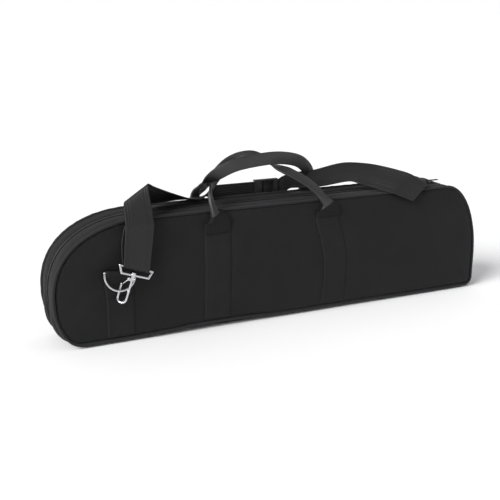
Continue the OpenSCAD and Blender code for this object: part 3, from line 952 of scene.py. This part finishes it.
def drop_edges(layer):
    """Edge rows of the front drop, from the eye up. layer is -1 for the outside one, 1 for the inside."""
    axis = tilted(EYE_TILT)[0]
    across, up = tilted(DROP_TILT)
    back = np.array([0, 1.6, 0])
    rows = []
    for side in (-1, 1):
        start = np.array(EYE) + side * EYE_REACH * axis + np.array([0, layer * LAYER_R, 0])
        length = (DROP_TOP - start[2]) / up[2]
        t = np.linspace(0, 1, 14)[:, None]
        spread = side * SQUEEZE * ease(t * length, 0, 60)
        # The layer behind hangs a little to the left and bellies towards the panel
        behind = max(layer, 0) * np.sin(np.pi * t)
        rows.append(start + up * length * t + across * (spread - 3.2 * behind) + back * behind)
    return rows


def eye_turn():
    """Edge rows round the swivel eye, from the inner layer to the outer one."""
    axis, up = tilted(EYE_TILT)
    a = np.radians(np.linspace(15, 165, 11))[:, None]
    turn = LAYER_R * (np.cos(a) * np.array([0, 1, 0]) - np.sin(a) * up)
    return [np.array(EYE) + side * EYE_REACH * axis + turn for side in (-1, 1)]


# Edge points of the strap over the top, as the frame's strap nodes have them
RISE_LOW = [
    (-302, -62.5, 205), (-301, -56, 222), (-299, -46, 238), (-291, -36, 239), (-272, -18, 232),
    (-245, 8, 222), (-205, 30, 217.5), (-165, 42, 216.5), (-135, 43.5, 217), (-122, 45, 217),
    (-111, 49.5, 210), (-100, 52.3, 186)]
RISE_HIGH = [
    (-254, -62.5, 205), (-255, -56, 228), (-257, -47, 262), (-253, -38, 266), (-240, -24, 258),
    (-214, -8, 245), (-182, 2, 231), (-160, 4, 223), (-140, 8, 222), (-122, 22, 231), (-111, 42, 236),
    (-100, 52.3, 234)]
ARCH_LOW = [
    (28, 52.3, 186), (38, 50, 200), (48, 42, 217), (70, 24, 220), (98, 5, 224), (146, -5, 231),
    (164, -14, 227.5), (186, -28, 221), (210, -52, 213.5), (232, -58, 204.5), (256, -61, 195)]
ARCH_HIGH = [
    (28, 52.3, 234), (36, 47, 241), (46, 36, 247), (64, 24, 252), (86, 18, 254), (150, 26, 261),
    (196, 21, 258), (230, 6, 252), (262, -30, 243), (280, -42, 232), (294, -50, 221)]
TURN_LOW = [
    (257, -57.5, 196), (257, -51, 207), (257, -47.8, 217), (257, -38, 221), (257, -15, 222), (257, 10, 222),
    (257, 40, 219), (256, 55, 214), (255, 62.5, 205)]
TURN_HIGH = [
    (296, -46.5, 221), (297, -42, 224), (299, -34, 226), (302, -22, 227), (305, -5, 227), (306, 10, 226),
    (305, 40, 219), (304, 55, 214), (303, 62.5, 205)]


def half_turn(rows):
    """The same rows turned half way round the upright middle line."""
    return [r * np.array([-1, -1, 1]) for r in rows]


def run_weave(x):
    """How far the strap stands back between the three-bar slider's bars."""
    low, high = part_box("strap_slider")
    middle = (low[0] + high[0]) / 2 / MM + 3
    return 3.4 * bell(x - middle + 11, 4) - 1.6 * bell(x - middle, 6)


def shoulder_strap():
    """One length of webbing from the front hook, over the top and down to the back hook."""
    outer, turn = drop_edges(-1), eye_turn()
    rise = [smooth_row(RISE_LOW), smooth_row(RISE_HIGH)]
    arch = [smooth_row(ARCH_LOW), smooth_row(ARCH_HIGH)]
    fold = [smooth_row(TURN_LOW), smooth_row(TURN_HIGH)]
    # The front piece ends, and the middle one starts, under the slider's left bar
    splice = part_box("strap_slider")[0][0] / MM + 6

    def run(start, end):
        return [np.array([[x, RUN_Y + run_weave(x), z] for x in np.linspace(start, end, 20)]) for z in RUN_Z]

    def joined(*stretches):
        return [np.vstack([stretch[k] for stretch in stretches]) for k in (0, 1)]

    front = ribbon("strap_front", *joined(turn, [row[1:] for row in outer], rise, run(RUN_X[0], splice)))
    middle = ribbon("strap_middle", *joined(run(splice - 0.5, RUN_X[1]), arch))
    # The back drop is the front one turned half way round. Seen along the strap, its edges swap sides.
    back_outer = [row[::-1][1:] for row in half_turn(outer)[::-1]]
    back_turn = [row[::-1] for row in half_turn(turn)[::-1]]
    back = ribbon("strap_back", *joined(fold, back_outer, back_turn))
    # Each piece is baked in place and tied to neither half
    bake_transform(front)
    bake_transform(middle)
    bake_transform(back)
    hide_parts("front_strap_drop", "strap_rise")
    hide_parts("strap_run", "strap_arch")
    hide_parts("strap_turn", "back_strap_drop")
    inner = drop_edges(1)
    tail = ribbon("front_strap_tail", *inner)
    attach(tail, "lid")
    tail = ribbon("back_strap_tail", *[row[:9] for row in half_turn(inner)])
    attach(tail, "case")


def band(side, i, surface, name, body):
    """A webbing band sewn down the panel, following its swell."""
    z = np.linspace(Z_LOW + 6 + bottom_rise(band_x(i, Z_LOW)), 186, 46)
    v = np.linspace(-1, 1, 13)
    gx = band_x(i, z)[:, None] + v[None] * WEB_W / 2
    gz = z[:, None] + 0 * v[None]
    y = surface(gx, gz)
    lift = 1.1 + 0.12 * np.cos(v * np.pi * 5) - 0.35 * np.abs(v) ** 12
    outer = np.stack([gx, side * (y + lift[None]), gz], -1)
    inner = np.stack([gx, side * (y - 0.6), gz], -1)
    rings = np.concatenate([outer, inner[:, ::-1]], 1)
    obj = tube(name, rings, z - z[0], web_across(v), BAND_WEB)
    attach(obj, body)
    return obj


def anchor(side, surface, name, body):
    """Webbing sewn down the panel, looped round the D-ring's bar and sewn back on itself."""
    bar_y, bar_z = -RING[1], RING[2]
    r = 3.0
    v = np.linspace(-1, 1, 13)
    columns = v * WEB_W / 2

    def on_panel(lift, start, end, count):
        return [[(x, surface(x - side * RING[0], z) + lift, z) for x in columns]
                for z in np.linspace(start, end, count)]

    turn = np.radians(np.linspace(-20, 215, 15))
    over = [[(x, bar_y - r * math.cos(a), bar_z + r * math.sin(a)) for x in columns] for a in turn]
    mid = np.array(on_panel(0.25, Z_LOW + 6, 106, 24) + over + on_panel(1.2, 108, ANCHOR_FOOT, 8), float)
    # The loop leans with the ring, and the sewn part below it hangs straight
    lean = math.radians(RING_TILT)
    share = ease(mid[..., 2], ANCHOR_FOOT, 112)
    dz = mid[..., 2] - bar_z
    x = mid[..., 0] * np.cos(lean * share) + dz * np.sin(lean * share)
    z = bar_z + dz * np.cos(lean * share) - mid[..., 0] * np.sin(lean * share)
    flat = np.stack([x + RING[0], -mid[..., 1], z], -1)
    if side > 0:
        flat = flat * np.array([-1, -1, 1])
    across = flat[:, -1] - flat[:, 0]
    normal = unit(np.cross(across[:, None], np.gradient(flat, axis=0)))
    half = 0.5 + 0.05 * np.cos(v * np.pi * 5)
    stand = normal * half[None, :, None]
    rings = np.concatenate([flat + stand, (flat - stand)[:, ::-1]], 1)
    obj = tube(name, rings, arc(flat[:, 6]), web_across(v), BAND_WEB)
    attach(obj, body)
    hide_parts(name)


# ---- Handles ----

# Middle of each handle from its left foot to its right one: X, Y, Z, half width, half thickness, twist.
# Y is a height above the panel where the handle is sewn down.
FRONT_ROUTE = [
    (-137, 1.6, 173, 24, 0.9, 0), (-137, 2.2, 181, 24, 1.6, 0), (-137, 3.2, 190, 24, 3.0, 0),
    (-137.5, 4.0, 196, 22.5, 4.4, -2), (-140.5, 52, 203, 15, 5.4, -14), (-144, 53, 210, 8, 5, -32),
    (-147.5, 50, 227, 7, 3.8, -46), (-145.5, 41, 237, 9, 3, -40), (-138, 22, 242.5, 10.5, 2.4, -24),
    (-127.5, -2, 245.5, 11, 2.1, -8), (-117.6, -15, 251.5, 11, 2.1, 0), (-105, -21, 262.5, 11, 2.1, 0),
    (-87, -24, 276, 11, 2.1, 0), (-67, -20, 285.5, 11, 2.1, 8), (-46, -12, 289, 11, 2.1, 24),
    (-28, -4, 285.5, 11, 2.1, 50), (-17, 6, 279, 11, 2.1, 68), (-9, 14, 272.5, 11, 2.1, 66),
    (1.5, 24, 267.5, 11, 2.1, 54), (12, 31, 262.5, 11, 2.1, 46), (35.5, 43, 247.5, 11, 2.2, 42),
    (54, 50.5, 231.5, 10.5, 2.6, 38), (64, 53.2, 218, 9, 3.4, 28), (71, 53, 209, 9.5, 4.6, 16),
    (75, 52, 203, 15, 5.2, 6), (78, 4.0, 196, 22, 4.4, 0), (78, 3.2, 191, 24, 3.0, 0),
    (78, 2.2, 186, 24, 1.6, 0), (78, 1.6, 181, 24, 0.9, 0)]
BACK_ROUTE = [
    (-137, 1.6, 173, 24, 0.9, 0), (-137, 2.2, 181, 24, 1.6, 0), (-137, 3.2, 189, 23.5, 2.8, 0),
    (-138, 3.6, 196, 20, 4.0, 0), (-139, 52, 203, 13, 4.8, 0), (-139, 52, 212, 9, 4.0, 0),
    (-137, 48.5, 223, 9, 2.8, 0), (-133.5, 33, 234.5, 10.5, 2.4, 0), (-133, 10, 247.5, 11.5, 2.1, 0),
    (-133, -13, 260, 11.5, 2.1, 0), (-122, -26, 272, 11.5, 2.1, 0), (-93, -32, 284.5, 11.5, 2.1, 0),
    (-44, -28, 289.5, 11.5, 2.1, 0), (-4, -18, 288, 11.5, 2.1, 0), (35, -6, 279.5, 11.5, 2.1, 0),
    (61, 8, 265, 11.5, 2.1, 0), (80, 26, 245, 11.5, 2.1, 0), (87, 42, 225, 10.5, 2.6, 0),
    (84.5, 51, 212, 9.5, 3.8, 0), (80.5, 52, 203, 14, 4.8, 0), (78, 3.6, 196, 20, 4.0, 0),
    (78, 3.2, 189, 23.5, 2.8, 0), (78, 2.2, 181, 24, 1.6, 0), (78, 1.6, 173, 24, 0.9, 0)]


def handle(side, route, surface, name):
    """A carry handle: webbing folded in half over the grip, spread flat and sewn down at both feet."""
    rows = np.array(route, float)
    sewn = rows[:, 1] < 10
    for i in np.flatnonzero(sewn & (rows[:, 2] < 200)):
        rows[i, 1] += float(surface(rows[i, 0], rows[i, 2]))
    rows[:, 1] *= side
    rows = smooth_row(rows, 8)
    along = arc(rows[:, :3])
    at = np.linspace(0, along[-1], int(along[-1] / 3.2))
    rows = read_off(rows, along, at)
    mid, a, b, twist = rows[:, :3], rows[:, 3], rows[:, 4], np.radians(rows[:, 5])
    t = unit(np.gradient(mid, axis=0))
    # Width lies in the plane of the arch, square to the route
    width = unit(np.cross(t, np.array([0, side, 0])))
    depth = np.cross(width, t)
    c, s = np.cos(twist)[:, None], np.sin(twist)[:, None]
    width, depth = width * c + depth * s, depth * c - width * s
    sides = 28
    u = 2 * np.pi * np.arange(sides) / sides
    power = 2 / 3.2
    ring_w = np.sign(np.cos(u)) * np.abs(np.cos(u)) ** power
    ring_d = np.sign(np.sin(u)) * np.abs(np.sin(u)) ** power
    # The folded edge is round and the open edge shows the slit between its two layers
    slit = 0.033 * bell(ring_d, 0.22) * (ring_w < -0.6)
    ring_d = ring_d * (1 + 0.05 * np.cos(ring_w * np.pi * 5))
    ring_w = ring_w * (1 - slit)
    rings = (mid[:, None] + width[:, None] * (a[:, None] * ring_w)[..., None]
             + depth[:, None] * (b[:, None] * ring_d)[..., None])
    across = np.concatenate([np.abs(ring_w) * 12, [12]])
    obj = tube(name, rings, at, across, HANDLE_WEB)
    # The spread feet are duller than the grip, and their colour is painted darker than the grip's as painted
    # shade
    obj.data.materials.append(FOOT_WEB)
    foot_width = 12.8
    for face in obj.data.polygons:
        ring = min(min(face.vertices) // sides, len(a) - 1)
        face.material_index = int(a[ring] > foot_width)
    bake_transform(obj)
    return obj


# ---- Thread ----

def stitches(name, rows, body, length=3.0, pitch=4.6, r=0.32):
    """Short lengths of thread along rows of points, each sunk at both ends."""
    verts, faces = [], []
    ring = 6
    # Place along the stitch and thickness there, as shares of its length and radius
    shape = ((-0.5, 0.35), (-0.3, 1.0), (0.3, 1.0), (0.5, 0.35))
    for row in rows:
        line = resample(row, pitch, closed=False)[0]
        for a, b in zip(line[:-1], line[1:]):
            t = b - a
            size = np.linalg.norm(t)
            if size < 1e-6:
                continue
            t = t / size
            mid = (a + b) / 2
            side = unit(np.cross(t, [0.0, 0.3, 1.0] if abs(t[2]) < 0.9 else [0.0, 1.0, 0.0]))
            other = np.cross(t, side)
            first = len(verts)
            for s, k in shape:
                for j in range(ring):
                    w = 2 * math.pi * j / ring
                    verts.append(mid + t * s * length + (side * math.cos(w) + other * math.sin(w)) * r * k)
            faces += rod_faces(first, len(shape), ring)
    obj = new_piece(name, np.array(verts), faces, THREAD)
    fix_normals(obj)
    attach(obj, body)
    return obj


def panel_stitches(side, surface):
    """Rows of thread down both edges of the bands, across their ends, and down the anchor."""
    rows = []
    reach = WEB_W / 2 - 3.2

    def on_panel(points, lift):
        line = resample(points, 4.0, closed=False)[0]
        y = surface(line[:, 0], line[:, 1]) + lift
        return np.column_stack([line[:, 0], side * y, line[:, 1]])

    for i in range(2):
        foot = Z_LOW + 8 + bottom_rise(band_x(i, Z_LOW))
        z = np.linspace(foot, 172, 24)
        for edge in (-1, 1):
            rows.append(on_panel(np.column_stack([band_x(i, z) + edge * reach, z]), 1.25))
        for z in (foot + 1, 170):
            x = float(band_x(i, z))
            rows.append(on_panel([(x - reach, z), (x + reach, z)], 1.25))
    for edge in (-1, 1):
        x = edge * reach - side * RING[0]
        rows.append(on_panel([(x, Z_LOW + 8), (x, ANCHOR_FOOT)], 1.35))
    return rows


# ---- Studio ----

def studio():
    """A white tent that is brightest level with the floor, and one soft sun from the upper left."""
    scene = bpy.context.scene
    scene.view_settings.view_transform = "Standard"
    world = bpy.data.worlds.new("studio")
    world.use_nodes = True
    tree = world.node_tree
    coords = tree.nodes.new("ShaderNodeTexCoord")
    split = tree.nodes.new("ShaderNodeSeparateXYZ")
    ramp = tree.nodes.new("ShaderNodeValToRGB")
    tree.links.new(coords.outputs["Generated"], split.inputs[0])
    tree.links.new(split.outputs[2], ramp.inputs[0])
    tree.links.new(ramp.outputs[0], tree.nodes["Background"].inputs[0])
    ramp.color_ramp.elements[0].position = 0.04
    ramp.color_ramp.elements[0].color = (1, 1, 1, 1)
    ramp.color_ramp.elements[1].position = 0.30
    ramp.color_ramp.elements[1].color = (0.50, 0.50, 0.51, 1)
    scene.world = world
    floor_material = new_material("floor_paper", (0.93, 0.93, 0.93), 0.9)
    n = Nodes(floor_material)
    coords = n.place()[0]
    n.link(n.ramp(n.noise(coords, 3, 2), [(0.3, (0.92, 0.92, 0.92)), (0.7, (0.94, 0.94, 0.94))]),
           n.shader.inputs["Base Color"])
    size = 60000
    floor = new_piece("floor", [(-size, -size, 0), (size, -size, 0), (size, size, 0), (-size, size, 0)],
                      [(0, 1, 2, 3)], floor_material)
    sun = bpy.data.lights.new("sun", "SUN")
    sun.energy = 3.7
    sun.angle = math.radians(34)
    lamp = bpy.data.objects.new("sun", sun)
    lamp.rotation_euler = Vector((0.79, 0.26, -0.56)).to_track_quat("-Z", "Y").to_euler()
    bpy.context.collection.objects.link(lamp)


# ---- CAD pieces that keep their shape ----

def finish_cad(node, material, bevel=0.0):
    """Gives a CAD piece its material, and rounds its edges by a bevel in millimetres."""
    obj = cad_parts[node]
    obj.data.materials.clear()
    obj.data.materials.append(material)
    if bevel:
        mod = obj.modifiers.new("bevel", "BEVEL")
        mod.width = bevel * MM
        mod.segments = 2
        mod.limit_method = "ANGLE"
        mod.angle_limit = math.radians(40)


make_camera()
studio()

front_surface = Surface(padded_panel(-1, "front_panel", "lid"), -1)
back_surface = Surface(padded_panel(1, "back_panel", "case"), 1)

for side, prefix, body, surface in ((-1, "front", "lid", front_surface), (1, "back", "case", back_surface)):
    gusset(side, prefix + "_gusset", body)
    piping(side, prefix + "_piping", body)
    zip_tape(side, prefix + "_zip_tape", body)
    zip_coil(side, prefix + "_zip_coil", body)
    gusset_lining(side, prefix + "_gusset_lining", body)
    panel_lining(side, prefix + "_lining", body)
    left = band(side, 0, surface, prefix + "_left_band", body)
    right = band(side, 1, surface, prefix + "_right_band", body)
    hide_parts(prefix + "_bands")
    anchor(side, surface, prefix + "_anchor", body)
    stitches(prefix + "_stitching", panel_stitches(side, surface), body)
bottom_gusset()
bottom_lining()
shoulder_strap()
front_loop = handle(-1, FRONT_ROUTE, front_surface, "front_handle")
back_loop = handle(1, BACK_ROUTE, back_surface, "back_handle")
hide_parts("front_handle", "front_handle_ends")
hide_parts("back_handle", "back_handle_ends")

for prefix in ("front", "back"):
    for part in ("_d_ring", "_swivel_eye", "_snap_hook"):
        finish_cad(prefix + part, CHROME)
    finish_cad(prefix + "_hook_gate", STEEL)
    finish_cad(prefix + "_gate_pin", STEEL)
finish_cad("strap_slider", PLASTIC, 0.8)
finish_cad("zip_slider", ENAMEL, 0.3)
finish_cad("zip_pull", ENAMEL, 0.3)
finish_cad("zip_end_stops", ENAMEL)
